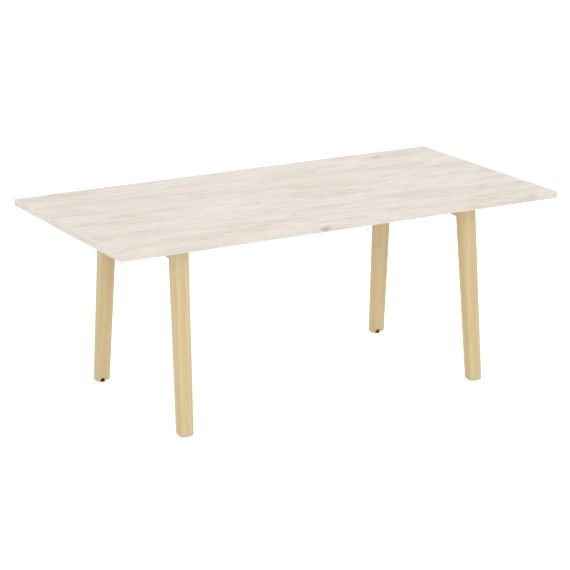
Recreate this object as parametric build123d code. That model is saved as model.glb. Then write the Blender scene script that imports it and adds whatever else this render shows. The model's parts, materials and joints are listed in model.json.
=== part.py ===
from build123d import *
import math
import os

# A plain four-legged communion table: an edge-banded board top on a frame of pressed steel
# channels, carried by four splayed solid wood legs with levelling feet.
#
# Millimetres. +Z is up, and the origin is on the floor under the centre of the table. +X runs
# along the length to the right-hand end, -Y is the front long side and +Y the back one.
# Shapes that every corner has are made for the back right corner and mirrored to the others.

# Tabletop
TOP_LENGTH = 1800
TOP_WIDTH = 900
TOP_HEIGHT = 722
TOP_THICKNESS = 25
EDGE_BAND_THICKNESS = 2
EDGE_BAND_ROUND = 1
UNDERSIDE = TOP_HEIGHT - TOP_THICKNESS

# Legs. Each is D-shaped: flat towards the middle of the table, with rounded outer corners.
# X is the middle of the leg's width, and Y its flat inner face.
LEG_WIDTH = 54
LEG_TOP_DEPTH = 66
LEG_BOTTOM_DEPTH = 43
LEG_CORNER_RADIUS = 18
LEG_ARRIS_RADIUS = 1
LEG_TOP_X = 600
LEG_TOP_INNER_Y = 256.5
LEG_BOTTOM_X = 615
LEG_BOTTOM_INNER_Y = 329
LEG_BOTTOM_Z = 6
LEG_END_CHAMFER = 2
LEG_HEIGHT = UNDERSIDE - LEG_BOTTOM_Z
INNER_FACE_TILT = math.degrees(math.atan2(LEG_BOTTOM_INNER_Y - LEG_TOP_INNER_Y, LEG_HEIGHT))

# Frame: pressed channels with the open side down, and a plate welded across each end
BEND_RADIUS = 3
END_RAIL_WIDTH = 40
END_RAIL_DEPTH = 72
END_RAIL_SHEET = 2.5
END_RAIL_PLATE = 5
LONG_RAIL_WIDTH = 30
LONG_RAIL_DEPTH = 50
LONG_RAIL_SHEET = 2
LONG_RAIL_PLATE = 4
LONG_RAIL_PLATE_WIDTH = 80
LONG_RAIL_Y = 170
LONG_RAIL_END_X = LEG_TOP_X - END_RAIL_WIDTH / 2

# M8 fasteners, with plain shanks in place of threads
M8_RADIUS = 4
M8_THREAD_HOLE_RADIUS = 4.05
M8_CLEARANCE_RADIUS = 4.5
M8_HEX = 13
WASHER_RADIUS = 8
WASHER_HOLE_RADIUS = 4.2
WASHER_THICKNESS = 1.6

# Cap screws that hold the legs, and their inserts in the wood
LEG_BOLT_DEPTHS = (17, 53)
LEG_BOLT_LENGTH = 25
CAP_HEAD_RADIUS = 6.5
CAP_HEAD_HEIGHT = 8
CAP_SOCKET_HEX = 6
CAP_SOCKET_DEPTH = 4
INSERT_RADIUS = 6
LEG_INSERT_LENGTH = 20
LEG_INSERT_HOLE_DEPTH = 24

# Hexagon bolts and nuts that join the rails
RAIL_BOLT_LENGTH = 20
RAIL_BOLT_OFFSETS = (-27.5, 27.5)
RAIL_BOLT_Z = UNDERSIDE - LONG_RAIL_DEPTH / 2
HEX_HEAD_HEIGHT = 5.3
NUT_HEIGHT = 6.8

# Wood screws that hold the top to the rails
SCREW_RADIUS = 2.5
SCREW_LENGTH = 20
SCREW_HOLE_RADIUS = 2.75
SCREW_HEAD_RADIUS = 4.75
SCREW_HEAD_HEIGHT = 3
SCREW_RECESS_WIDTH = 1
SCREW_RECESS_LENGTH = 4.5
SCREW_RECESS_DEPTH = 1.6
END_RAIL_SCREW_YS = (-220, -60, 60, 220)
LONG_RAIL_SCREW_XS = (-400, 0, 400)

# Levelling feet: a pad that swivels on the ball of a threaded stud, in a pocket bored into the
# bottom of the leg. The pocket breaks out through the leg's inner face.
FOOT_X = LEG_BOTTOM_X
FOOT_Y = LEG_BOTTOM_INNER_Y + 9
FOOT_WIND_IN = 2
POCKET_RADIUS = 13
POCKET_TOP_Z = 15
FOOT_INSERT_LENGTH = 15
FOOT_INSERT_FLANGE_RADIUS = 8
FOOT_INSERT_FLANGE = 1.5
STUD_HOLE_RADIUS = 4.75
STUD_HOLE_TOP_Z = 50
PAD_RADIUS = 10
PAD_RIM_HEIGHT = 5.5
PAD_SHOULDER_RADIUS = 8
PAD_HEIGHT = 7.5
PAD_FOOT_CHAMFER = 0.8
BALL_Z = 4.8
BALL_RADIUS = 3.8
SOCKET_CLEARANCE = 0.05
SOCKET_MOUTH_RADIUS = 3.1
STUD_NECK_RADIUS = 2.4
STUD_HEX = 10
STUD_HEX_BOTTOM_Z = 8
STUD_HEX_TOP_Z = POCKET_TOP_Z - FOOT_INSERT_FLANGE - FOOT_WIND_IN
STUD_TOP_Z = 44
END_CHAMFER = 0.8

ENDS = ("left", "right")
SIDES = ("front", "back")


def mirrored(shape, end, side):
    """A shape made for the back right corner, moved to the named corner."""
    if end == "left":
        shape = mirror(shape, about=Plane.YZ)
    if side == "front":
        shape = mirror(shape, about=Plane.XZ)
    return shape


def at_all_corners(shapes):
    return [mirrored(shape, end, side) for end in ENDS for side in SIDES for shape in shapes]


def rod(radius, bottom, top):
    """A cylinder along Z between two heights."""
    return Pos(0, 0, bottom) * extrude(Circle(radius), top - bottom)


def hexagon(across_flats, bottom, top):
    """A hexagonal bar along Z between two heights."""
    outline = RegularPolygon(across_flats / 2, 6, major_radius=False)
    return Pos(0, 0, bottom) * extrude(outline, top - bottom)


def chamfered_end(shape, size=END_CHAMFER):
    """Chamfers the edge of the topmost face."""
    return chamfer(shape.faces().sort_by(Axis.Z)[-1].edges(), size)


# Places of the fasteners. Each is a location whose +Z points the way the fastener is driven.

def leg_bolt_places():
    """On the leg's flat inner face, square to it, at the back right corner."""
    places = []
    for depth in LEG_BOLT_DEPTHS:
        y = LEG_TOP_INNER_Y + depth * math.tan(math.radians(INNER_FACE_TILT))
        place = Pos(LEG_TOP_X, y, UNDERSIDE - depth) * Rot(X=INNER_FACE_TILT - 90)
        places.append(place)
    return places


def rail_bolt_places():
    """On the inside of the end rail's inner flange, at the back right corner."""
    seat_x = LONG_RAIL_END_X + END_RAIL_SHEET
    return [
        Pos(seat_x, LONG_RAIL_Y + offset, RAIL_BOLT_Z) * Rot(Y=-90)
        for offset in RAIL_BOLT_OFFSETS
    ]


def end_rail_screw_places(end_sign):
    seat_z = UNDERSIDE - END_RAIL_SHEET
    return [Pos(end_sign * LEG_TOP_X, y, seat_z) for y in END_RAIL_SCREW_YS]


def long_rail_screw_places(side_sign):
    seat_z = UNDERSIDE - LONG_RAIL_SHEET
    return [Pos(x, side_sign * LONG_RAIL_Y, seat_z) for x in LONG_RAIL_SCREW_XS]


def all_screw_places():
    places = []
    for sign in (-1, 1):
        places += end_rail_screw_places(sign) + long_rail_screw_places(sign)
    return places


# Tabletop

def tabletop_board():
    """The board inside its edge bands, with a blind pilot hole for each wood screw."""
    band = 2 * EDGE_BAND_THICKNESS
    outline = Rectangle(TOP_LENGTH - band, TOP_WIDTH - band)
    board = Pos(0, 0, UNDERSIDE) * extrude(outline, TOP_THICKNESS)
    for place in all_screw_places():
        board -= place * rod(SCREW_RADIUS, 0, SCREW_LENGTH)
    return board


def edge_band(length):
    """A band along X whose outer face looks along -Y, with softened outer edges."""
    strip = extrude(Rectangle(length, EDGE_BAND_THICKNESS), TOP_THICKNESS)
    outer = strip.faces().sort_by(Axis.Y)[0].edges().filter_by(Axis.X)
    return fillet(outer, EDGE_BAND_ROUND)


def long_edge_band(side):
    """It runs the full length, over the ends of the short bands."""
    y = (TOP_WIDTH - EDGE_BAND_THICKNESS) / 2
    front = Pos(0, -y, UNDERSIDE) * edge_band(TOP_LENGTH)
    return front if side == "front" else mirror(front, about=Plane.XZ)


def short_edge_band(end):
    x = (TOP_LENGTH - EDGE_BAND_THICKNESS) / 2
    length = TOP_WIDTH - 2 * EDGE_BAND_THICKNESS
    right = Pos(x, 0, UNDERSIDE) * Rot(Z=90) * edge_band(length)
    return right if end == "right" else mirror(right, about=Plane.YZ)


# Frame

def channel_profile(width, depth, sheet):
    """Section of a channel in X and Y, with its closed side up, at Y = 0."""
    outside = Pos(0, -depth / 2) * Rectangle(width, depth)
    outside = fillet(outside.vertices().sort_by(Axis.Y)[-2:], BEND_RADIUS)
    inside = Pos(0, -depth / 2 - sheet) * Rectangle(width - 2 * sheet, depth)
    inside = fillet(inside.vertices().sort_by(Axis.Y)[-2:], BEND_RADIUS - sheet)
    return outside - inside


def between_legs(inset):
    """The space between the flat faces of an end's two legs, as wide and deep as the end rail,
    and shorter by the inset, measured square to the face, at each leg."""
    tilt = math.radians(INNER_FACE_TILT)
    top = LEG_TOP_INNER_Y - inset / math.cos(tilt)
    bottom = top + END_RAIL_DEPTH * math.tan(tilt)
    outline = Polygon(
        (-top, UNDERSIDE),
        (top, UNDERSIDE),
        (bottom, UNDERSIDE - END_RAIL_DEPTH),
        (-bottom, UNDERSIDE - END_RAIL_DEPTH),
        align=None,
    )
    return extrude(Plane.YZ * outline, END_RAIL_WIDTH / 2, both=True)


def right_end_rail():
    """Cross rail: a channel along Y whose welded end plates lie flat against the legs."""
    profile = channel_profile(END_RAIL_WIDTH, END_RAIL_DEPTH, END_RAIL_SHEET)
    channel = Pos(0, 0, UNDERSIDE) * extrude(Plane.XZ * profile, TOP_WIDTH / 2, both=True)
    plates = between_legs(0) - between_legs(END_RAIL_PLATE)
    rail = Pos(LEG_TOP_X) * (channel & between_legs(0) + plates)
    for side in SIDES:
        for place in leg_bolt_places():
            hole = place * rod(M8_CLEARANCE_RADIUS, -2 * END_RAIL_PLATE, 0)
            rail -= mirrored(hole, "right", side)
        for place in rail_bolt_places():
            hole = place * rod(M8_CLEARANCE_RADIUS, -1, END_RAIL_SHEET + 1)
            rail -= mirrored(hole, "right", side)
    for place in end_rail_screw_places(1):
        rail -= place * rod(SCREW_HOLE_RADIUS, 0, END_RAIL_SHEET)
    return rail


def end_rail(end):
    rail = right_end_rail()
    return rail if end == "right" else mirror(rail, about=Plane.YZ)


def back_long_rail():
    """Rail along X between the end rails, with welded end plates wider than the channel."""
    profile = channel_profile(LONG_RAIL_WIDTH, LONG_RAIL_DEPTH, LONG_RAIL_SHEET)
    half = LONG_RAIL_END_X - LONG_RAIL_PLATE
    rail = Rot(Z=90) * extrude(Plane.XZ * profile, half, both=True)
    plate = Box(LONG_RAIL_PLATE, LONG_RAIL_PLATE_WIDTH, LONG_RAIL_DEPTH)
    for sign in (-1, 1):
        rail += Pos(sign * (half + LONG_RAIL_PLATE / 2), 0, -LONG_RAIL_DEPTH / 2) * plate
    rail = Pos(0, LONG_RAIL_Y, UNDERSIDE) * rail
    for end in ENDS:
        for place in rail_bolt_places():
            reach = END_RAIL_SHEET + LONG_RAIL_PLATE + 1
            rail -= mirrored(place * rod(M8_CLEARANCE_RADIUS, 0, reach), end, "back")
    for place in long_rail_screw_places(1):
        rail -= place * rod(SCREW_HOLE_RADIUS, 0, LONG_RAIL_SHEET)
    return rail


def long_rail(side):
    rail = back_long_rail()
    return rail if side == "back" else mirror(rail, about=Plane.XZ)


# Legs

def leg_section(z, inset=0):
    """The leg's outline at a height, drawn in on all sides by the inset."""
    share = (z - LEG_BOTTOM_Z) / LEG_HEIGHT
    middle_x = LEG_BOTTOM_X + share * (LEG_TOP_X - LEG_BOTTOM_X)
    inner_y = LEG_BOTTOM_INNER_Y + share * (LEG_TOP_INNER_Y - LEG_BOTTOM_INNER_Y)
    depth = LEG_BOTTOM_DEPTH + share * (LEG_TOP_DEPTH - LEG_BOTTOM_DEPTH)
    arris = LEG_ARRIS_RADIUS / 2 if inset else LEG_ARRIS_RADIUS
    outline = Rectangle(LEG_WIDTH - 2 * inset, depth - 2 * inset)
    outline = fillet(outline.vertices().sort_by(Axis.Y)[-2:], LEG_CORNER_RADIUS - inset)
    outline = fillet(outline.vertices().sort_by(Axis.Y)[:2], arris)
    return Pos(middle_x, inner_y + depth / 2, z) * outline


def back_right_leg():
    """Tapered, splayed leg, bored for its two inserts, and pocketed for the foot."""
    sections = [
        leg_section(LEG_BOTTOM_Z, inset=LEG_END_CHAMFER),
        leg_section(LEG_BOTTOM_Z + LEG_END_CHAMFER),
        leg_section(UNDERSIDE),
    ]
    leg = loft(sections, ruled=True)
    for place in leg_bolt_places():
        leg -= place * rod(INSERT_RADIUS, 0, LEG_INSERT_LENGTH)
        leg -= place * rod(M8_CLEARANCE_RADIUS, 0, LEG_INSERT_HOLE_DEPTH)
    foot_place = Pos(FOOT_X, FOOT_Y)
    leg -= foot_place * rod(POCKET_RADIUS, 0, POCKET_TOP_Z)
    leg -= foot_place * rod(INSERT_RADIUS, 0, POCKET_TOP_Z + FOOT_INSERT_LENGTH)
    leg -= foot_place * rod(STUD_HOLE_RADIUS, 0, STUD_HOLE_TOP_Z)
    return leg


# Fasteners, each made with its driving direction along +Z and its seat at Z = 0

def washer():
    disc = rod(WASHER_RADIUS, -WASHER_THICKNESS, 0)
    return disc - rod(WASHER_HOLE_RADIUS, -WASHER_THICKNESS, 0)


def cap_screw():
    """Socket head cap screw, seated on a washer."""
    head_top = -WASHER_THICKNESS - CAP_HEAD_HEIGHT
    head = rod(CAP_HEAD_RADIUS, head_top, -WASHER_THICKNESS)
    head = chamfer(head.faces().sort_by(Axis.Z)[0].edges(), END_CHAMFER)
    head -= hexagon(CAP_SOCKET_HEX, head_top, head_top + CAP_SOCKET_DEPTH)
    shank = rod(M8_RADIUS, -WASHER_THICKNESS, LEG_BOLT_LENGTH - WASHER_THICKNESS)
    return head + chamfered_end(shank)


def leg_insert():
    """Plain sleeve, flush with the leg's inner face."""
    return rod(INSERT_RADIUS, 0, LEG_INSERT_LENGTH) - rod(
        M8_THREAD_HOLE_RADIUS, 0, LEG_INSERT_LENGTH
    )


def hex_bolt():
    head_top = -WASHER_THICKNESS - HEX_HEAD_HEIGHT
    head = hexagon(M8_HEX, head_top, -WASHER_THICKNESS)
    head &= chamfered_disc(head_top, -WASHER_THICKNESS)
    shank = rod(M8_RADIUS, -WASHER_THICKNESS, RAIL_BOLT_LENGTH - WASHER_THICKNESS)
    return head + chamfered_end(shank)


def chamfered_disc(bottom, top):
    """A disc that trims the corners off a hexagon's lower face."""
    disc = rod(M8_HEX / math.sqrt(3), bottom, top)
    return chamfer(disc.faces().sort_by(Axis.Z)[0].edges(), END_CHAMFER)


def hex_nut():
    """Nut on the far side of the end rail's flange and the long rail's end plate."""
    seat = END_RAIL_SHEET + LONG_RAIL_PLATE
    nut = hexagon(M8_HEX, seat, seat + NUT_HEIGHT)
    nut &= Pos(0, 0, 2 * seat + NUT_HEIGHT) * Rot(X=180) * chamfered_disc(
        seat, seat + NUT_HEIGHT
    )
    return nut - rod(M8_THREAD_HOLE_RADIUS, seat, seat + NUT_HEIGHT)


def wood_screw():
    """Pan head screw with a cross recess, up through a rail into the board."""
    head = rod(SCREW_HEAD_RADIUS, -SCREW_HEAD_HEIGHT, 0)
    head = fillet(head.faces().sort_by(Axis.Z)[0].edges(), SCREW_HEAD_HEIGHT * 0.6)
    for turn in (0, 90):
        slot = Box(SCREW_RECESS_LENGTH, SCREW_RECESS_WIDTH, 2 * SCREW_RECESS_DEPTH)
        head -= Pos(0, 0, -SCREW_HEAD_HEIGHT) * Rot(Z=turn) * slot
    return head + chamfered_end(rod(SCREW_RADIUS, 0, SCREW_LENGTH), 1.5)


# Levelling feet, made on the Z axis and then moved to the corner's foot place

def foot_insert():
    body = rod(INSERT_RADIUS, POCKET_TOP_Z, POCKET_TOP_Z + FOOT_INSERT_LENGTH)
    flange = rod(FOOT_INSERT_FLANGE_RADIUS, POCKET_TOP_Z - FOOT_INSERT_FLANGE, POCKET_TOP_Z)
    return body + flange - rod(M8_THREAD_HOLE_RADIUS, 0, POCKET_TOP_Z + FOOT_INSERT_LENGTH)


def foot_pad():
    """Moulded pad: a rim, a tapered shoulder, and a socket that holds the stud's ball."""
    outline = Polygon(
        (0, 0),
        (PAD_RADIUS - PAD_FOOT_CHAMFER, 0),
        (PAD_RADIUS, PAD_FOOT_CHAMFER),
        (PAD_RADIUS, PAD_RIM_HEIGHT),
        (PAD_SHOULDER_RADIUS, PAD_HEIGHT),
        (0, PAD_HEIGHT),
        align=None,
    )
    pad = revolve(Plane.XZ * outline, Axis.Z)
    pad -= Pos(0, 0, BALL_Z) * Sphere(BALL_RADIUS + SOCKET_CLEARANCE)
    return pad - rod(SOCKET_MOUTH_RADIUS, BALL_Z, PAD_HEIGHT)


def foot_stud():
    """Stud with a ball at its lower end and a hexagon for the spanner."""
    stud = Pos(0, 0, BALL_Z) * Sphere(BALL_RADIUS)
    stud += rod(STUD_NECK_RADIUS, BALL_Z, STUD_HEX_BOTTOM_Z)
    stud += hexagon(STUD_HEX, STUD_HEX_BOTTOM_Z, STUD_HEX_TOP_Z)
    return stud + chamfered_end(rod(M8_RADIUS, STUD_HEX_BOTTOM_Z, STUD_TOP_Z))


def placed(places, shape):
    return [place * shape for place in places]


def assembly():
    """Every node's name with its solids."""
    nodes = {"tabletop_board": [tabletop_board()]}
    for side in SIDES:
        nodes[f"edge_band_{side}"] = [long_edge_band(side)]
        nodes[f"long_rail_{side}"] = [long_rail(side)]
    for end in ENDS:
        nodes[f"edge_band_{end}"] = [short_edge_band(end)]
        nodes[f"end_rail_{end}"] = [end_rail(end)]

    foot_place = Pos(FOOT_X, FOOT_Y)
    corner_pieces = {
        "leg": back_right_leg(),
        "foot_pad": foot_place * foot_pad(),
        "foot_stud": foot_place * foot_stud(),
    }
    for name, shape in corner_pieces.items():
        for end in ENDS:
            for side in SIDES:
                nodes[f"{name}_{side}_{end}"] = [mirrored(shape, end, side)]

    nodes["leg_inserts"] = at_all_corners(placed(leg_bolt_places(), leg_insert()))
    bolt_seats = [place * Pos(0, 0, -END_RAIL_PLATE) for place in leg_bolt_places()]
    nodes["leg_bolt_washers"] = at_all_corners(placed(bolt_seats, washer()))
    nodes["leg_bolts"] = at_all_corners(placed(bolt_seats, cap_screw()))
    nodes["rail_bolt_washers"] = at_all_corners(placed(rail_bolt_places(), washer()))
    nodes["rail_bolts"] = at_all_corners(placed(rail_bolt_places(), hex_bolt()))
    nodes["rail_nuts"] = at_all_corners(placed(rail_bolt_places(), hex_nut()))
    nodes["foot_inserts"] = at_all_corners([foot_place * foot_insert()])
    nodes["top_screws"] = placed(all_screw_places(), wood_screw())
    return nodes


def write_parts():
    os.makedirs("parts", exist_ok=True)
    for name, shapes in assembly().items():
        solids = [solid for shape in shapes for solid in shape.solids()]
        export_step(Compound(solids), f"parts/{name}.step")


write_parts()
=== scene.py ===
import json
import math

import bpy
import bmesh
import numpy as np
from mathutils import Matrix, Vector

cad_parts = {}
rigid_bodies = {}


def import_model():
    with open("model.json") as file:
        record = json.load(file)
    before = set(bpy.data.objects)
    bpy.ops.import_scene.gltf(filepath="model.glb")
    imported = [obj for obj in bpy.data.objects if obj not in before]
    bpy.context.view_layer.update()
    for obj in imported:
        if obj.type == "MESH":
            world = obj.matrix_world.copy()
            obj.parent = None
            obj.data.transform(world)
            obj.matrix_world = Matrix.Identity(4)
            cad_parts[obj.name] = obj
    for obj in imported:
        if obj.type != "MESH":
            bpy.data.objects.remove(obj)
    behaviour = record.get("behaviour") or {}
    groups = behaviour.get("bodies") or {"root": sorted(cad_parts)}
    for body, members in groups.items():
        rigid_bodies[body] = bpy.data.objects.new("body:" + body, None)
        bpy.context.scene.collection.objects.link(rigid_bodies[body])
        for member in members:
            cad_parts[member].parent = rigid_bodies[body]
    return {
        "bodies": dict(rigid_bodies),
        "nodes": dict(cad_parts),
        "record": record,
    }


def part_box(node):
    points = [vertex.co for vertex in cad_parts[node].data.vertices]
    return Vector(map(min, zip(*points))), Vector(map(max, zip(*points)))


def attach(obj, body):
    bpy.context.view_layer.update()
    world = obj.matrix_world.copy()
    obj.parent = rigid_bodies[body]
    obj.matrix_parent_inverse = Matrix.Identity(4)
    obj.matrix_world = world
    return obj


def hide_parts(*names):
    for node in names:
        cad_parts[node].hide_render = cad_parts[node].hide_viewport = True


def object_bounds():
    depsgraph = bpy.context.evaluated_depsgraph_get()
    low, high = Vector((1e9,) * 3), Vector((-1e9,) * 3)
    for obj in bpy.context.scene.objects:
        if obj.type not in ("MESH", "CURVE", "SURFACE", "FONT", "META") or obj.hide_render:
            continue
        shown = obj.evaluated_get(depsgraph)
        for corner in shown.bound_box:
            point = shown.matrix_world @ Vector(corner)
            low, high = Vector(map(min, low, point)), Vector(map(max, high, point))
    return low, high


# The looks of the communion table: bleached-oak decor on the top and its edge bands, pale wood
# legs, powder-coated rails, zinc-plated screws with real threads, and black moulded feet.
# Metres. +Z is up, +X runs along the length, and the front long side faces -Y.

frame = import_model()
NODES = frame["nodes"]
CAD_LOW, CAD_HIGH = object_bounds()
CENTRE = (CAD_LOW + CAD_HIGH) / 2
MM = 0.001

CORNERS = [(side, end) for side in ("front", "back") for end in ("left", "right")]

# Camera
CAMERA_AZIMUTH = math.radians(-29.89)
CAMERA_ELEVATION = math.radians(16.29)
CAMERA_DISTANCE = 7.894
CAMERA_AIM = CENTRE + Vector((0, 0.019, 0.0095))
CAMERA_LENS = 132.8
CAMERA_SENSOR = 36

# Colours, as linear RGB
OAK_CREAM = (0.854, 0.785, 0.705)
OAK_GREY = (0.775, 0.701, 0.613)
# The long bands' tone is painted shade, a little darker than the top's decor. The end bands' tone
# is painted light, a little lighter. Both make up for how the lamps fall on those faces.
OAK_BAND_PAINTED_SHADE = (0.815, 0.755, 0.677)
OAK_END_BAND_PAINTED_LIGHT = (0.868, 0.798, 0.716)
OAK_KNOT = (0.56, 0.47, 0.38)
LEG_LIGHT = (0.785, 0.63, 0.360)
LEG_DARK = (0.67, 0.515, 0.273)
RAIL_GREY = (0.50, 0.50, 0.49)
ZINC = (0.66, 0.67, 0.66)
BLACK_ZINC = (0.035, 0.035, 0.038)
NYLON = (0.016, 0.016, 0.017)

# Paler edge tones: each is partly worn, rubbed or scuffed finish and partly a painted highlight.
RAIL_WORN_AND_HIGHLIT = (0.70, 0.70, 0.69)
ZINC_BLUISH = (0.60, 0.615, 0.66)
BLACK_ZINC_BLUISH = (0.028, 0.036, 0.052)
BLACK_ZINC_RUBBED_AND_HIGHLIT = (0.22, 0.22, 0.21)
NYLON_SCUFFED_AND_HIGHLIT = (0.06, 0.06, 0.06)

# Wood figure, in metres
OAK_KNOT_SPACING = (0.42, 0.17)
OAK_LINE_SPACING = 0.012
LEG_RING_SPACING = 0.0042
LEG_LEAN = (0.0217, 0.0883)

# Fasteners and feet, in millimetres
M8_MAJOR = 3.98
M8_MINOR = 3.28
M8_PITCH = 1.25
M8_HEX = 13.0
NUT_BORE = 4.05
STUD_HEX = 10.0
STUD_NECK = 2.4
BALL_RADIUS = 3.8
SOCKET_RADIUS = 3.85
SOCKET_MOUTH = 3.1
SOCKET_CENTRE = 4.8
HEX_CHAMFER_SLOPE = 0.577

# Rails, in millimetres, as the CAD part has them
LONG_RAIL_WIDTH = 30
LONG_RAIL_PLATE = 4
END_RAIL_SHEET = 2.5
END_RAIL_PLATE = 5
END_PLATE_LEAN = math.radians(5.99)

# Weld beads, in millimetres. A clear run is left above and below each bead.
WELD_LEG = 2.6
WELD_SINK = 0.2
WELD_TAPER = 2.5
WELD_HOLLOW = 0.12
WELD_ARC_POINTS = 6
WELD_RIPPLE = 1.8
WELD_RIPPLE_SWELL = 0.045
WELD_RIPPLE_STEPS = 5
LONG_RAIL_WELD_CLEAR = (5, 1)
END_RAIL_WELD_CLEAR = (6, 1.5)

# Finding where a fastener's CAD solid lies, in metres
END_SLICE = 0.002
WIDER_BY = 0.0005
TURN_BETWEEN = 2.4

# Stage. The glow and the surround are weaker as light than as the camera sees them.
FLOOR_REACH = 40.0
FLOOR_PAINT = (0.8, 0.8, 0.8, 1)
FLOOR_GLOW_LIGHT = 0.18
FLOOR_GLOW_SEEN = 0.52
SURROUND_LIGHT_LOW = 0.745
SURROUND_LIGHT_HIGH = 0.88
SURROUND_HIGH_FROM = 0.8
SURROUND_SEEN = 1.05
LAMPS = (("key", (1.4, 1.2, 5.0), 4.0, 25), ("fill", (-2.4, -4.8, 3.2), 3.0, 56))


class Shader:
    """A material's node tree, with one short call for each kind of node that it uses.
    A value given to a call is a number, a tuple or another node's output."""

    def __init__(self, name, colour):
        self.material = bpy.data.materials.new(name)
        self.material.use_nodes = True
        self.material.diffuse_color = (*colour, 1)
        self.tree = self.material.node_tree
        self.surface = self.tree.nodes["Principled BSDF"]
        self.surface.inputs["Base Color"].default_value = (*colour, 1)
        self.place = self.node("ShaderNodeTexCoord").outputs["Object"]

    def node(self, kind, inputs=(), **settings):
        made = self.tree.nodes.new(kind)
        for key, value in settings.items():
            setattr(made, key, value)
        for key, value in dict(inputs).items():
            self.feed(made.inputs[key], value)
        return made

    def feed(self, socket, value):
        if isinstance(value, bpy.types.NodeSocket):
            self.tree.links.new(value, socket)
        elif isinstance(value, tuple) and len(value) == 3 and socket.type == "RGBA":
            socket.default_value = (*value, 1)
        else:
            socket.default_value = value

    def finish(self, **inputs):
        """Feeds the surface's inputs. Underscores stand for the spaces in their names."""
        for key, value in inputs.items():
            self.feed(self.surface.inputs[key.replace("_", " ")], value)
        return self.material

    def math(self, operation, *values, clamp=False):
        inputs = dict(enumerate(values))
        return self.node("ShaderNodeMath", inputs, operation=operation, use_clamp=clamp).outputs[0]

    def vector(self, operation, *values):
        inputs = dict(enumerate(values))
        made = self.node("ShaderNodeVectorMath", inputs, operation=operation)
        scalar = operation in ("DOT_PRODUCT", "LENGTH", "DISTANCE")
        return made.outputs["Value" if scalar else "Vector"]

    def axes(self, vector):
        split = self.node("ShaderNodeSeparateXYZ", {0: vector})
        return split.outputs[0], split.outputs[1], split.outputs[2]

    def point(self, x, y, z):
        return self.node("ShaderNodeCombineXYZ", {0: x, 1: y, 2: z}).outputs[0]

    def noise(self, vector, detail=2.0, roughness=0.5, scale=1.0):
        """Fractal noise from about 0.2 to 0.8, with scale features to the unit."""
        inputs = {"Vector": vector, "Scale": scale, "Detail": detail, "Roughness": roughness}
        return self.node("ShaderNodeTexNoise", inputs).outputs["Fac"]

    def step(self, value, low, high):
        """0 below low, 1 above high and smooth between them."""
        inputs = {"Value": value, "From Min": low, "From Max": high}
        made = self.node("ShaderNodeMapRange", inputs, interpolation_type="SMOOTHSTEP")
        return made.outputs["Result"]

    def spread(self, value, low, high):
        """A straight map of 0..1 to low..high."""
        inputs = {"Value": value, "To Min": low, "To Max": high}
        return self.node("ShaderNodeMapRange", inputs, clamp=False).outputs["Result"]

    def mix(self, factor, a, b):
        made = self.node("ShaderNodeMix", data_type="RGBA")
        inputs = {"Factor_Float": factor, "A_Color": a, "B_Color": b}
        for socket in made.inputs:
            if socket.identifier in inputs:
                self.feed(socket, inputs[socket.identifier])
        return next(s for s in made.outputs if s.identifier == "Result_Color")

    def scaled(self, colour, factor):
        """A colour multiplied by a value."""
        return self.vector("MULTIPLY", colour, self.point(factor, factor, factor))

    def bump(self, height, distance, normal=None):
        inputs = {"Height": height, "Distance": distance}
        if normal is not None:
            inputs["Normal"] = normal
        return self.node("ShaderNodeBump", inputs).outputs["Normal"]

    def rounded(self, radius):
        """A normal that is softened within a radius of each edge."""
        return self.node("ShaderNodeBevel", {"Radius": radius}, samples=4).outputs["Normal"]

    def edge(self, radius):
        """About 1 on the edges and 0 on the open faces."""
        flat = self.node("ShaderNodeNewGeometry").outputs["Normal"]
        alike = self.vector("DOT_PRODUCT", self.rounded(radius), flat)
        return self.step(alike, 0.99, 0.75)


# Wood

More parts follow.
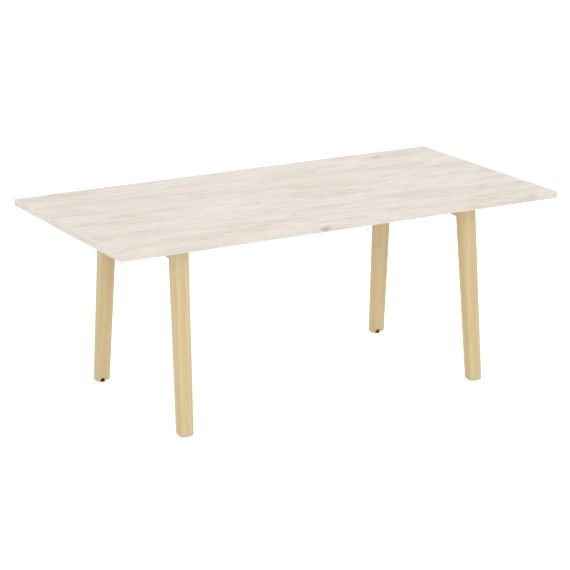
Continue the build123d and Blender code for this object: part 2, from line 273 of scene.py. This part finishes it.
def oak_decor(name, along, across, depth, colour, offset=0.0):
    """Bleached-oak decor print. along, across and depth are axis numbers: the grain runs along
    the first, and the third one sets a face's print apart from the opposite face's."""
    s = Shader(name, colour)
    axes = s.axes(s.place)
    u, v, w = axes[along], axes[across], axes[depth]
    u = s.math("ADD", u, s.math("MULTIPLY_ADD", w, 5.3, offset))
    w = s.math("MULTIPLY", w, 40.0)

    def grain(length, width, detail=2.0, roughness=0.5):
        place = s.point(s.math("DIVIDE", u, length), s.math("DIVIDE", v, width), w)
        return s.noise(place, detail, roughness)

    # A few small knots, with the grain lines bent round them
    spacing_u, spacing_v = OAK_KNOT_SPACING
    cell = s.point(s.math("DIVIDE", u, spacing_u), s.math("DIVIDE", v, spacing_v), 0.0)
    cells = s.node("ShaderNodeTexVoronoi", {"Vector": cell, "Scale": 1.0, "Randomness": 0.9},
                   voronoi_dimensions="2D")
    pick, size, _ = s.axes(cells.outputs["Color"])
    chosen = s.step(pick, 0.60, 0.61)
    reach = s.math("MULTIPLY", cells.outputs["Distance"], s.spread(size, 0.75, 2.0))
    reach = s.math("MULTIPLY_ADD", grain(0.03, 0.006, 2.0), 0.05, reach)
    knot = s.math("MULTIPLY", s.step(reach, 0.100, 0.040), chosen)
    swirl = s.math("MULTIPLY", s.step(reach, 0.34, 0.04), chosen)

    # Growth lines: long arches where the field peaks, straight runs elsewhere
    field = s.math("MULTIPLY_ADD", grain(0.9, 0.16, 1.0), 0.15, v)
    field = s.math("MULTIPLY_ADD", grain(0.12, 0.02, 2.0), 0.006, field)
    field = s.math("MULTIPLY_ADD", swirl, 0.016, field)
    wave = s.math("SINE", s.math("MULTIPLY", field, 2 * math.pi / OAK_LINE_SPACING))
    lines = s.math("MULTIPLY", s.step(wave, -0.1, 1.0), s.step(grain(0.5, 0.05, 1.0), 0.3, 0.6))

    bands = s.step(grain(0.42, 0.085, 2.0), 0.40, 0.66)
    streaks = grain(0.115, 0.013, 4.0, 0.62)
    dashes = s.step(grain(0.055, 0.0042, 1.0), 0.60, 0.74)
    flecks = s.step(grain(0.075, 0.0060, 1.0), 0.60, 0.76)
    fibres = grain(0.045, 0.0011, 2.0, 0.6)
    pores = s.step(grain(0.014, 0.0007, 1.0), 0.57, 0.65)

    shade = s.spread(bands, 1.016, 0.982)
    for value, low, high in ((lines, 1.0, 0.935), (streaks, 1.15, 0.87),
                             (dashes, 1.0, 0.90), (flecks, 1.0, 1.06), (fibres, 1.04, 0.96),
                             (pores, 1.0, 0.86), (swirl, 1.0, 0.97), (knot, 1.0, 0.86)):
        shade = s.math("MULTIPLY", shade, s.spread(value, low, high))
    tint = s.step(s.math("MULTIPLY_ADD", bands, 0.25, streaks), 0.42, 0.92)
    hue = s.mix(s.math("MULTIPLY", knot, 0.55), s.mix(tint, colour, OAK_GREY), OAK_KNOT)
    height = s.math("ADD", s.math("MULTIPLY", streaks, 0.4), s.math("MULTIPLY", pores, -1.0))
    return s.finish(Base_Color=s.scaled(hue, shade),
                    Roughness=s.spread(streaks, 0.50, 0.62),
                    Specular_IOR_Level=0.35,
                    Normal=s.bump(height, 0.00006))


def leg_wood():
    """Pale straight-grained hardwood. The figure is solid: rings round a heart well outside
    the leg, so that it shows as lines on the sides and as arcs on the ends. All legs lean
    alike towards the middle of the table, and each one is cut from another place in the tree."""
    s = Shader("leg_wood", LEG_LIGHT)
    x, y, z = s.axes(s.place)
    _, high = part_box("leg_back_right")
    lean_x, lean_y = LEG_LEAN
    out_x = s.math("MULTIPLY_ADD", z, lean_x, s.math("ABSOLUTE", x))
    out_y = s.math("MULTIPLY_ADD", z, lean_y, s.math("ABSOLUTE", y))
    corner = s.math("ADD", s.math("SIGN", x), s.math("MULTIPLY", s.math("SIGN", y), 2.0))
    run = s.math("MULTIPLY_ADD", corner, 3.7, z)
    across = s.point(s.math("SUBTRACT", out_x, high.x), s.math("SUBTRACT", out_y, high.y), 0.0)

    def grain(length, width, detail=2.0, roughness=0.5):
        a, b, _ = s.axes(across)
        place = s.point(s.math("DIVIDE", a, width), s.math("DIVIDE", b, width),
                        s.math("DIVIDE", run, length))
        return s.noise(place, detail, roughness)

    heart = s.point(s.math("MULTIPLY_ADD", corner, 0.013, 0.05), -0.12, 0.0)
    radius = s.vector("DISTANCE", across, heart)
    radius = s.math("MULTIPLY_ADD", grain(0.45, 0.06, 1.0), 0.022, radius)
    radius = s.math("MULTIPLY_ADD", grain(0.08, 0.01, 1.0), 0.0012, radius)
    saw = s.math("FRACT", s.math("DIVIDE", radius, LEG_RING_SPACING))
    rings = s.math("MULTIPLY", s.step(saw, 0.1, 0.85), s.step(saw, 1.0, 0.9))

    bands = grain(0.5, 0.022, 2.0)
    fibres = grain(0.09, 0.0011, 3.0, 0.6)
    pores = s.step(grain(0.006, 0.00045, 1.0), 0.60, 0.68)

    tilt = Vector((-lean_x, -lean_y, 1)).normalized()
    normal = s.node("ShaderNodeNewGeometry").outputs["Normal"]
    end_grain = s.step(s.math("ABSOLUTE", s.axes(normal)[2]), 0.45 * tilt.z, 0.9 * tilt.z)

    shade = s.spread(fibres, 1.06, 0.94)
    shade = s.math("MULTIPLY", shade, s.spread(pores, 1.0, 0.90))
    shade = s.math("MULTIPLY", shade, s.spread(end_grain, 1.0, 0.86))
    tint = s.math("MULTIPLY_ADD", rings, 0.45, s.step(bands, 0.3, 0.9), clamp=True)
    hue = s.mix(tint, LEG_LIGHT, LEG_DARK)
    height = s.math("ADD", s.math("MULTIPLY", fibres, 0.5), s.math("MULTIPLY", pores, -1.0))
    normal = s.bump(height, 0.00005, s.rounded(0.0006))
    return s.finish(Base_Color=s.scaled(hue, shade),
                    Roughness=s.spread(fibres, 0.42, 0.56),
                    Specular_IOR_Level=0.4,
                    Normal=normal)


# Metal and plastic

def rail_paint():
    """Silver-grey powder coat: an even orange-peel texture, and paler edges that are partly paint
    worn thin and partly a painted highlight.
    """
    s = Shader("frame_paint", RAIL_GREY)
    peel = s.noise(s.place, 2.0, scale=900)
    cloud = s.noise(s.place, 3.0, scale=14)
    speck = s.step(peel, 0.62, 0.72)
    # Paler edges: partly worn paint, partly a painted highlight.
    edge = s.math("MULTIPLY", s.edge(0.0007), s.step(cloud, 0.35, 0.65))
    shade = s.math("MULTIPLY", s.spread(cloud, 0.96, 1.04), s.spread(speck, 1.0, 1.10))
    hue = s.mix(s.math("MULTIPLY", edge, 0.45), RAIL_GREY, RAIL_WORN_AND_HIGHLIT)
    return s.finish(Base_Color=s.scaled(hue, shade),
                    Metallic=0.15,
                    Roughness=s.spread(peel, 0.40, 0.60),
                    Normal=s.bump(peel, 0.00010, s.rounded(0.0005)))


def zinc_plate():
    """Bright zinc plate, slightly uneven in tone, with fine drawing marks."""
    s = Shader("zinc_steel", ZINC)
    cloud = s.noise(s.place, 3.0, scale=220)
    marks = s.noise(s.place, 4.0, 0.7, scale=2600)
    hue = s.mix(s.step(cloud, 0.35, 0.68), ZINC, ZINC_BLUISH)
    return s.finish(Base_Color=s.scaled(hue, s.spread(marks, 0.92, 1.08)),
                    Metallic=1.0,
                    Roughness=s.spread(cloud, 0.26, 0.46),
                    Normal=s.bump(marks, 0.00002, s.rounded(0.00015)))


def black_zinc():
    """Black zinc plate: dark, faintly iridescent, and paler on the edges, partly rubbed bright and
    partly a painted highlight.
    """
    s = Shader("black_zinc", BLACK_ZINC)
    cloud = s.noise(s.place, 3.0, scale=320)
    marks = s.noise(s.place, 4.0, 0.7, scale=2400)
    hue = s.mix(s.step(cloud, 0.35, 0.68), BLACK_ZINC, BLACK_ZINC_BLUISH)
    # Paler edges: partly rubbed plating, partly a painted highlight.
    rubbed_and_highlit = s.math("MULTIPLY", s.edge(0.0002), s.step(marks, 0.42, 0.62))
    hue = s.mix(s.math("MULTIPLY", rubbed_and_highlit, 0.25), hue, BLACK_ZINC_RUBBED_AND_HIGHLIT)
    return s.finish(Base_Color=hue,
                    Metallic=0.75,
                    Roughness=s.spread(cloud, 0.32, 0.52),
                    Normal=s.bump(marks, 0.00002, s.rounded(0.00015)))


def black_nylon():
    """Moulded black nylon with a fine spark-eroded texture and a paler rim, partly scuffs and
    partly a painted highlight.
    """
    s = Shader("black_plastic", NYLON)
    texture = s.noise(s.place, 2.0, scale=3200)
    cloud = s.noise(s.place, 3.0, scale=260)
    # Paler rim: partly scuffs, partly a painted highlight.
    scuff_and_highlight = s.math("MULTIPLY", s.edge(0.0004), s.step(cloud, 0.42, 0.62))
    hue = s.mix(s.math("MULTIPLY", scuff_and_highlight, 0.5), NYLON, NYLON_SCUFFED_AND_HIGHLIT)
    return s.finish(Base_Color=hue,
                    Roughness=s.spread(cloud, 0.38, 0.58),
                    Normal=s.bump(texture, 0.00003, s.rounded(0.0003)))


MATERIALS = {
    "oak_decor": oak_decor("oak_decor", 0, 1, 2, OAK_CREAM),
    # Edge bands: the long ones carry painted shade and the short ones carry painted light.
    "band_long": oak_decor("edge_band_long", 0, 2, 1, OAK_BAND_PAINTED_SHADE, 0.31),
    "band_short": oak_decor("edge_band_short", 1, 2, 0, OAK_END_BAND_PAINTED_LIGHT, 1.4),
    "leg_wood": leg_wood(),
    "frame_paint": rail_paint(),
    "zinc_steel": zinc_plate(),
    "black_zinc": black_zinc(),
    "black_plastic": black_nylon(),
}


def dress_cad_nodes():
    """Puts the right material in each carried-over CAD node's slot."""
    for part in frame["record"]["subparts"]:
        node, slot = part["node"], part["material_slot"]
        if slot == "edge_band":
            # Long and short edge bands get their own copies of the decor, which carry painted
            # shade and painted light.
            slot = "band_long" if node in ("edge_band_front", "edge_band_back") else "band_short"
        NODES[node].material_slots[0].material = MATERIALS[slot]


# Shapes in mesh code. Each is drawn in millimetres about the Z axis, and then put in its place.

def ring(angles, radius, height):
    """One closed loop of points round Z. radius and height are numbers or functions of angle."""
    points = []
    for angle in angles:
        r = radius(angle) if callable(radius) else radius
        z = height(angle) if callable(height) else height
        points.append(Vector((r * math.cos(angle), r * math.sin(angle), z)))
    return points


def evenly(count):
    return [2 * math.pi * i / count for i in range(count)]


def hexagon(across_flats):
    """Radius of a hexagon as a function of angle, with a corner on the X axis."""
    def radius(angle):
        return across_flats / 2 / math.cos(angle % (math.pi / 3) - math.pi / 6)
    return radius


def cone_cut(outline, edge_radius, level, slope):
    """Height of a flat end whose corners, beyond a radius, are cut back by a cone."""
    def height(angle):
        return level + slope * max(0.0, outline(angle) - edge_radius)
    return height


def add_rings(bm, rings, cap_first=False, joined=False):
    """Bridges rings one to the next. The last is capped, or joined to the first."""
    loops = [[bm.verts.new(point) for point in points] for points in rings]
    count = len(loops[0])
    if joined:
        loops.append(loops[0])
    else:
        bm.faces.new(loops[-1])
    if cap_first:
        bm.faces.new(loops[0])
    for first, second in zip(loops, loops[1:]):
        for i in range(count):
            j = (i + 1) % count
            bm.faces.new((first[i], first[j], second[j], second[i]))


def add_thread(bm, major, minor, pitch, start, end, lead_in, core_until, around):
    """An open helical thread surface between two heights. lead_in gives the largest radius at
    a height, for a chamfer or a point. Up to core_until the surface is a plain core."""
    profile = ((0.0, major), (0.125, major), (0.4375, minor), (0.6875, minor))
    turns = int((end - start) / pitch) + 3
    rows = []
    for turn in range(turns):
        for phase, radius in profile:
            row = []
            for j in range(around):
                z = start + (turn - 1.5 + phase + j / around) * pitch
                r = radius if z > core_until else (major + minor) / 2
                r = max(min(r, lead_in(z)), 0.05)
                angle = 2 * math.pi * j / around
                row.append(bm.verts.new((r * math.cos(angle), r * math.sin(angle), z)))
            rows.append(row)
    pitch_rows = len(profile)
    for i in range(len(rows) - 1):
        for j in range(around - 1):
            bm.faces.new((rows[i][j], rows[i][j + 1], rows[i + 1][j + 1], rows[i + 1][j]))
        if i + pitch_rows + 1 < len(rows):
            low, high = rows[i + pitch_rows][0], rows[i + pitch_rows + 1][0]
            bm.faces.new((rows[i][-1], low, high, rows[i + 1][-1]))
    for level, direction in ((start, -1), (end, 1)):
        everything = bm.verts[:] + bm.edges[:] + bm.faces[:]
        bmesh.ops.bisect_plane(bm, geom=everything, plane_co=(0, 0, level),
                               plane_no=(0, 0, direction), clear_outer=True, dist=1e-5)


def fill_level(bm, level):
    """Fills the flat gap inside all open edges at a height."""
    edges = [e for e in bm.edges if e.is_boundary
             and all(abs(v.co.z - level) < 1e-3 for v in e.verts)]
    bmesh.ops.triangle_fill(bm, edges=edges, use_beauty=True)


def threaded(rings, seat, end, **thread):
    """A closed solid: a head or a foot drawn from the seat by rings, and a thread from the seat
    to the free end."""
    bm = bmesh.new()
    add_thread(bm, start=seat, end=end, **thread)
    add_rings(bm, rings)
    fill_level(bm, seat)
    fill_level(bm, end)
    return bm


def machine_thread(seat, end):
    """M8 with a chamfered end and a plain neck of one pitch."""
    return dict(major=M8_MAJOR, minor=M8_MINOR, pitch=M8_PITCH, around=24,
                lead_in=lambda z: M8_MINOR - 0.1 + end - z,
                core_until=seat + M8_PITCH)


def cap_screw():
    """Socket head cap screw with a knurled head."""
    top, bottom, end = 0.0, 8.0, 33.0
    angles = evenly(144)
    socket = hexagon(6.0)

    def knurl(angle):
        return 6.5 - 0.16 * abs(math.sin(18 * angle))

    rings = [ring(angles, 5.6, bottom), ring(angles, 6.2, bottom - 0.1),
             ring(angles, 6.42, bottom - 0.5), ring(angles, knurl, bottom - 0.9),
             ring(angles, knurl, top + 1.3), ring(angles, 6.25, top + 0.7),
             ring(angles, 5.9, top + 0.25), ring(angles, 5.4, top), ring(angles, 3.75, top),
             ring(angles, socket, top + 0.35), ring(angles, socket, top + 3.6),
             ring(angles, 2.0, top + 4.0)]
    return threaded(rings, bottom, end, **machine_thread(bottom, end))


def hex_bolt():
    """Hexagon bolt with a washer face under its head and a dished top."""
    top, bottom, end = 0.0, 5.3, 25.3
    angles = evenly(72)
    head = hexagon(M8_HEX)
    rings = [ring(angles, 5.9, bottom), ring(angles, 5.9, bottom - 0.3),
             ring(angles, head, bottom - 0.3),
             ring(angles, head, cone_cut(head, 6.2, top, HEX_CHAMFER_SLOPE)),
             ring(angles, 6.15, top), ring(angles, 5.0, top), ring(angles, 4.7, top + 0.25),
             ring(angles, 0.6, top + 0.25)]
    return threaded(rings, bottom, end, **machine_thread(bottom, end))


def hex_nut():
    """Nut with both ends chamfered, outside and at the bore."""
    height = 6.8
    angles = evenly(72)
    body = hexagon(M8_HEX)
    rings = [ring(angles, NUT_BORE, height - 0.6),
             ring(angles, 4.6, height), ring(angles, 6.15, height),
             ring(angles, body, cone_cut(body, 6.2, height, -HEX_CHAMFER_SLOPE)),
             ring(angles, body, cone_cut(body, 6.2, 0.0, HEX_CHAMFER_SLOPE)),
             ring(angles, 6.15, 0.0), ring(angles, 4.6, 0.0), ring(angles, NUT_BORE, 0.6)]
    bm = bmesh.new()
    add_rings(bm, rings, joined=True)
    return bm


def cross(arm, half_width):
    """Radius of a cross-shaped recess as a function of angle."""
    def radius(angle):
        a = abs((angle + math.pi / 4) % (math.pi / 2) - math.pi / 4)
        if a <= math.atan2(half_width, arm):
            return arm / math.cos(a)
        return half_width / math.sin(a)
    return radius


def wood_screw():
    """Pan head screw with a cross recess and a pointed coarse thread."""
    top, bottom, end = 0.0, 3.0, 22.6
    arm, half_width = 2.3, 0.55
    corner = math.atan2(half_width, arm)
    turns = [q * math.pi / 2 for q in range(4)]
    special = [t + side * corner for t in turns for side in (-1, 1)]
    special += [t + math.pi / 4 for t in turns]
    angles = sorted({round(a % (2 * math.pi), 9) for a in evenly(48) + special})
    rings = [ring(angles, 4.55, bottom), ring(angles, 4.75, bottom - 0.2),
             ring(angles, 4.72, bottom - 0.9), ring(angles, 4.4, bottom - 1.7),
             ring(angles, 3.8, bottom - 2.4), ring(angles, 2.9, bottom - 2.85),
             ring(angles, 2.6, top), ring(angles, cross(arm, half_width), top + 0.05),
             ring(angles, cross(1.5, 0.45), top + 1.5), ring(angles, 0.3, top + 1.9)]
    return threaded(rings, bottom, end, major=2.45, minor=1.6, pitch=2.0, around=20,
                    lead_in=lambda z: 0.3 + 0.55 * (end - z), core_until=bottom + 1.0)


def ball_rings(angles, radius, centre, mouth, until, count):
    """Rings down a ball, from the height where it is as wide as a mouth to near its pole."""
    first = math.asin(mouth / radius)
    polars = [first + (math.pi * until - first) * i / (count - 1) for i in range(count)]
    return [ring(angles, radius * math.sin(polar), centre + radius * math.cos(polar))
            for polar in polars]


def levelling_stud():
    """Ball, neck and spanner hexagon under an M8 thread, standing on the ball's pole. The
    hexagon stops 0.1 mm short of the insert's flange when the foot is wound right in."""
    angles = evenly(48)
    grip = hexagon(STUD_HEX)
    low, high, end = 7.0, 10.4, 43.0
    rings = [ring(angles, 4.7, high),
             ring(angles, grip, cone_cut(grip, 4.75, high, -HEX_CHAMFER_SLOPE)),
             ring(angles, grip, cone_cut(grip, 4.75, low, HEX_CHAMFER_SLOPE)),
             ring(angles, 4.7, low),
             ring(angles, STUD_NECK + 0.3, low), ring(angles, STUD_NECK, low - 0.2)]
    rings += ball_rings(angles, BALL_RADIUS, BALL_RADIUS, STUD_NECK, 0.985, 13)
    return threaded(rings, high, end, **machine_thread(high, end))


def pad():
    """Moulded pad with a ribbed rim, a tapered shoulder, a socket and a hollow sole."""
    angles = evenly(96)

    def grip(angle):
        return 9.86 + 0.14 * math.cos(24 * angle)

    rings = [ring(angles, 0.5, 0.35), ring(angles, 4.6, 0.35), ring(angles, 4.9, 0.0),
             ring(angles, 6.5, 0.0), ring(angles, 6.7, 0.25), ring(angles, 7.1, 0.25),
             ring(angles, 7.3, 0.0), ring(angles, 9.2, 0.0), ring(angles, 9.7, 0.25),
             ring(angles, 9.95, 0.8), ring(angles, 9.95, 1.2), ring(angles, grip, 1.5),
             ring(angles, grip, 4.5), ring(angles, 9.95, 4.8), ring(angles, 9.95, 5.2),
             ring(angles, 9.8, 5.5), ring(angles, 8.25, 7.1), ring(angles, 7.8, 7.42),
             ring(angles, 7.2, 7.5), ring(angles, 3.6, 7.5), ring(angles, 3.25, 7.4)]
    rings += ball_rings(angles, SOCKET_RADIUS, SOCKET_CENTRE, SOCKET_MOUTH, 0.975, 10)
    bm = bmesh.new()
    add_rings(bm, rings, cap_first=True)
    return bm


def weld_bead(bm, start, end, away, out):
    """A rippled fillet along an inside corner. away and out point along its two faces."""
    length = (end - start).length
    along = (end - start) / length
    steps = int(length / WELD_RIPPLE * WELD_RIPPLE_STEPS)
    loops = []
    for i in range(steps + 1):
        run = length * i / steps
        taper = min(1.0, math.sqrt(max(min(run, length - run), 0.05) / WELD_TAPER))
        ripple = 1 + WELD_RIPPLE_SWELL * math.sin(2 * math.pi * run / WELD_RIPPLE)
        leg = WELD_LEG * taper * ripple
        corner = start + along * run - WELD_SINK * (away + out)
        loop = [bm.verts.new(corner)]
        for k in range(WELD_ARC_POINTS):
            turn = math.pi / 2 * k / (WELD_ARC_POINTS - 1)
            reach = leg * (1.0 - WELD_HOLLOW * math.sin(2 * turn))
            loop.append(bm.verts.new(corner + reach * (away * math.cos(turn)
                                                       + out * math.sin(turn))))
        loops.append(loop)
    for first, second in zip(loops, loops[1:]):
        for i in range(len(first)):
            j = (i + 1) % len(first)
            bm.faces.new((first[i], first[j], second[j], second[i]))
    bm.faces.new(loops[0])
    bm.faces.new(loops[-1])


# Putting the shapes in place

def new_piece(name, shapes, body, slot, replaces=()):
    """Makes one object from (shape, place) pairs. A shape is a bmesh in millimetres, and a
    place is a matrix in millimetres. replaces names the CAD nodes that the piece stands for."""
    whole = bmesh.new()
    for shape, place in shapes:
        mesh = bpy.data.meshes.new("shape")
        shape.to_mesh(mesh)
        mesh.transform(Matrix.Scale(MM, 4) @ place)
        whole.from_mesh(mesh)
        bpy.data.meshes.remove(mesh)
    bmesh.ops.recalc_face_normals(whole, faces=whole.faces)
    for face in whole.faces:
        face.smooth = True
    mesh = bpy.data.meshes.new(name)
    whole.to_mesh(mesh)
    whole.free()
    mesh.set_sharp_from_angle(angle=math.radians(32))
    mesh.materials.append(MATERIALS[slot])
    made = bpy.data.objects.new(name, mesh)
    bpy.context.scene.collection.objects.link(made)
    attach(made, body)
    if replaces:
        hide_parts(*replaces)


def solids_of(node):
    """The separate solids of a CAD node, each as four arrays: its corner points, and its
    faces' areas, normals and centres."""
    bm = bmesh.new()
    bm.from_mesh(NODES[node].data)
    bmesh.ops.remove_doubles(bm, verts=bm.verts, dist=1e-6)
    seen = set()
    for first in bm.verts:
        if first in seen:
            continue
        island, queue = [], [first]
        while queue:
            vert = queue.pop()
            if vert not in seen:
                seen.add(vert)
                island.append(vert)
                queue += [edge.other_vert(vert) for edge in vert.link_edges]
        faces = dict.fromkeys(face for vert in island for face in vert.link_faces)
        yield (np.array([vert.co for vert in island]),
               np.array([face.calc_area() for face in faces]),
               np.array([face.normal for face in faces]),
               np.array([face.calc_center_median() for face in faces]))
    bm.free()


def places_of(node):
    """For each fastener in a CAD node, a matrix in millimetres that puts Z = 0 at the middle
    of its wider end, with +Z along its axis into the solid. The axis is the direction whose
    share of the faces' normals stands apart from the other two."""
    places = []
    for points, areas, normals, centres in solids_of(node):
        middle = (areas[:, None] * centres).sum(0) / areas.sum()
        spread, axes = np.linalg.eigh((areas[:, None, None] * normals[:, :, None]
                                       * normals[:, None, :]).sum(0))
        axis = axes[:, 0] if spread[1] - spread[0] > spread[2] - spread[1] else axes[:, 2]
        axis = axis * np.sign(axis[np.argmax(np.abs(axis))])
        run = (points - middle) @ axis
        reach = np.linalg.norm(points - middle - run[:, None] * axis, axis=1)
        low_end, high_end = run < run.min() + END_SLICE, run > run.max() - END_SLICE
        if reach[high_end].max() > reach[low_end].max() + WIDER_BY:
            axis, run = -axis, -run
        start = Vector((middle + axis * run.min()) / MM)
        turn = Vector(axis).to_track_quat("Z", "Y").to_matrix().to_4x4()
        places.append((tuple(round(v, 2) for v in start), Matrix.Translation(start) @ turn))
    places.sort(key=lambda pair: pair[0])
    return [place @ Matrix.Rotation(TURN_BETWEEN * i, 4, "Z")
            for i, (_, place) in enumerate(places)]


def fasteners():
    """Drawn screws, bolts and nuts in the places of the CAD part's plain ones."""
    for name, node, shape in (("cap_screws", "leg_bolts", cap_screw()),
                              ("hex_bolts", "rail_bolts", hex_bolt()),
                              ("hex_nuts", "rail_nuts", hex_nut()),
                              ("wood_screws", "top_screws", wood_screw())):
        shapes = [(shape, place) for place in places_of(node)]
        new_piece(name, shapes, "table", "zinc_steel", (node,))
        shape.free()


def levelling_feet():
    """A stud and a pad at each corner, each riding on its own body."""
    stud, sole = levelling_stud(), pad()
    for side, end in CORNERS:
        corner = f"{side}_{end}"
        for shape, kind, body, slot in ((stud, "stud", "stud", "black_zinc"),
                                        (sole, "pad", "foot", "black_plastic")):
            node = f"foot_{kind}_{corner}"
            low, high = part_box(node)
            foot = Vector(((low.x + high.x) / 2, (low.y + high.y) / 2, low.z)) / MM
            new_piece(f"{kind}_{corner}", [(shape, Matrix.Translation(foot))],
                      f"{body}_{corner}", slot, (node,))
    stud.free()
    sole.free()


def welds():
    """Beads where each channel meets its end plates: outside the long rails' channels, and
    inside the end rails' channels, whose plates are no wider than they are."""
    above, below = LONG_RAIL_WELD_CLEAR
    for side in ("front", "back"):
        low, high = (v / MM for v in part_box(f"long_rail_{side}"))
        bm = bmesh.new()
        y = (low.y + high.y) / 2
        for end_x, sign in ((low.x, 1), (high.x, -1)):
            for out in (-1, 1):
                x = end_x + sign * LONG_RAIL_PLATE
                wall = y + out * LONG_RAIL_WIDTH / 2
                weld_bead(bm, Vector((x, wall, high.z - above)),
                          Vector((x, wall, low.z + below)),
                          Vector((sign, 0, 0)), Vector((0, out, 0)))
        new_piece(f"weld_long_rail_{side}", [(bm, Matrix.Identity(4))], "table",
                  "frame_paint")
        bm.free()
    above, below = END_RAIL_WELD_CLEAR
    lean = math.tan(END_PLATE_LEAN)
    for end in ("left", "right"):
        low, high = (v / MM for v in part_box(f"end_rail_{end}"))
        bm = bmesh.new()
        x = (low.x + high.x) / 2
        half = (high.x - low.x) / 2 - END_RAIL_SHEET
        for sign in (-1, 1):
            for wall in (-1, 1):
                ends = []
                for z in (high.z - above, low.z + below):
                    face = high.y - END_RAIL_PLATE / math.cos(END_PLATE_LEAN)
                    y = sign * (face - (z - low.z) * lean)
                    ends.append(Vector((x + wall * half, y, z)))
                weld_bead(bm, ends[0], ends[1], Vector((0, -sign, 0)), Vector((-wall, 0, 0)))
        new_piece(f"weld_end_rail_{end}", [(bm, Matrix.Identity(4))], "table", "frame_paint")
        bm.free()


# Stage

def keep_under_feet(floor):
    """Ties the floor's height to the lowest of the feet, as they are wound in and out."""
    level = floor.driver_add("location", 2).driver
    level.type = "MIN"
    for body, holder in frame["bodies"].items():
        if body.startswith("foot_"):
            height = level.variables.new()
            height.type = "TRANSFORMS"
            height.targets[0].id = holder
            height.targets[0].transform_type = "LOC_Z"


def plain_floor():
    """A pale floor that reads as a seamless studio sweep, and is clear from below."""
    mesh = bpy.data.meshes.new("floor")
    corners = [(x * FLOOR_REACH, y * FLOOR_REACH, 0)
               for x, y in ((-1, -1), (1, -1), (1, 1), (-1, 1))]
    mesh.from_pydata(corners, [], [(0, 1, 2, 3)])
    floor = bpy.data.objects.new("floor", mesh)
    bpy.context.scene.collection.objects.link(floor)
    material = bpy.data.materials.new("floor")
    material.use_nodes = True
    tree = material.node_tree
    tree.nodes.clear()
    out = tree.nodes.new("ShaderNodeOutputMaterial")
    paint = tree.nodes.new("ShaderNodeBsdfDiffuse")
    paint.inputs["Color"].default_value = FLOOR_PAINT
    glow = tree.nodes.new("ShaderNodeEmission")
    path = tree.nodes.new("ShaderNodeLightPath")
    strength = tree.nodes.new("ShaderNodeMapRange")
    strength.inputs["To Min"].default_value = FLOOR_GLOW_LIGHT
    strength.inputs["To Max"].default_value = FLOOR_GLOW_SEEN
    tree.links.new(path.outputs["Is Camera Ray"], strength.inputs["Value"])
    tree.links.new(strength.outputs["Result"], glow.inputs["Strength"])
    both = tree.nodes.new("ShaderNodeAddShader")
    clear = tree.nodes.new("ShaderNodeBsdfTransparent")
    geometry = tree.nodes.new("ShaderNodeNewGeometry")
    pick = tree.nodes.new("ShaderNodeMixShader")
    tree.links.new(paint.outputs[0], both.inputs[0])
    tree.links.new(glow.outputs[0], both.inputs[1])
    tree.links.new(geometry.outputs["Backfacing"], pick.inputs[0])
    tree.links.new(both.outputs[0], pick.inputs[1])
    tree.links.new(clear.outputs[0], pick.inputs[2])
    tree.links.new(pick.outputs[0], out.inputs["Surface"])
    mesh.materials.append(material)
    keep_under_feet(floor)


def white_surround():
    """White light from all round, a little stronger from above, and plain white where the
    camera sees it."""
    world = bpy.data.worlds.new("surround")
    bpy.context.scene.world = world
    world.use_nodes = True
    tree = world.node_tree
    back = tree.nodes["Background"]
    path = tree.nodes.new("ShaderNodeLightPath")
    axes = tree.nodes.new("ShaderNodeSeparateXYZ")
    rise = tree.nodes.new("ShaderNodeMapRange")
    rise.inputs["From Max"].default_value = SURROUND_HIGH_FROM
    rise.inputs["To Min"].default_value = SURROUND_LIGHT_LOW
    rise.inputs["To Max"].default_value = SURROUND_LIGHT_HIGH
    level = tree.nodes.new("ShaderNodeMix")
    level.inputs["B"].default_value = SURROUND_SEEN
    place = tree.nodes.new("ShaderNodeTexCoord").outputs["Generated"]
    tree.links.new(place, axes.inputs[0])
    tree.links.new(axes.outputs["Z"], rise.inputs["Value"])
    tree.links.new(path.outputs["Is Camera Ray"], level.inputs["Factor"])
    tree.links.new(rise.outputs["Result"], level.inputs["A"])
    tree.links.new(level.outputs["Result"], back.inputs["Strength"])
    back.inputs["Color"].default_value = (1, 1, 1, 1)


def aimed(name, data, place, ahead):
    """An object for a lamp or a camera, facing ahead."""
    holder = bpy.data.objects.new(name, data)
    holder.location = place
    holder.rotation_mode = "QUATERNION"
    holder.rotation_quaternion = ahead.to_track_quat("-Z", "Y")
    bpy.context.scene.collection.objects.link(holder)
    return holder


def soft_lamp(name, place, size, power):
    """A round area lamp that faces the middle of the table."""
    lamp = bpy.data.lights.new(name, "AREA")
    lamp.shape = "DISK"
    lamp.size = size
    lamp.energy = power
    aimed(name, lamp, place, CENTRE - Vector(place))


def camera():
    data = bpy.data.cameras.new("camera")
    data.lens = CAMERA_LENS
    data.sensor_width = CAMERA_SENSOR
    data.clip_end = 100
    back = Vector((math.sin(CAMERA_AZIMUTH) * math.cos(CAMERA_ELEVATION),
                   -math.cos(CAMERA_AZIMUTH) * math.cos(CAMERA_ELEVATION),
                   math.sin(CAMERA_ELEVATION)))
    bpy.context.scene.camera = aimed("camera", data, CAMERA_AIM + CAMERA_DISTANCE * back, -back)


dress_cad_nodes()
fasteners()
levelling_feet()
welds()
plain_floor()
white_surround()
for lamp in LAMPS:
    soft_lamp(*lamp)
camera()
bpy.context.scene.view_settings.view_transform = "Standard"
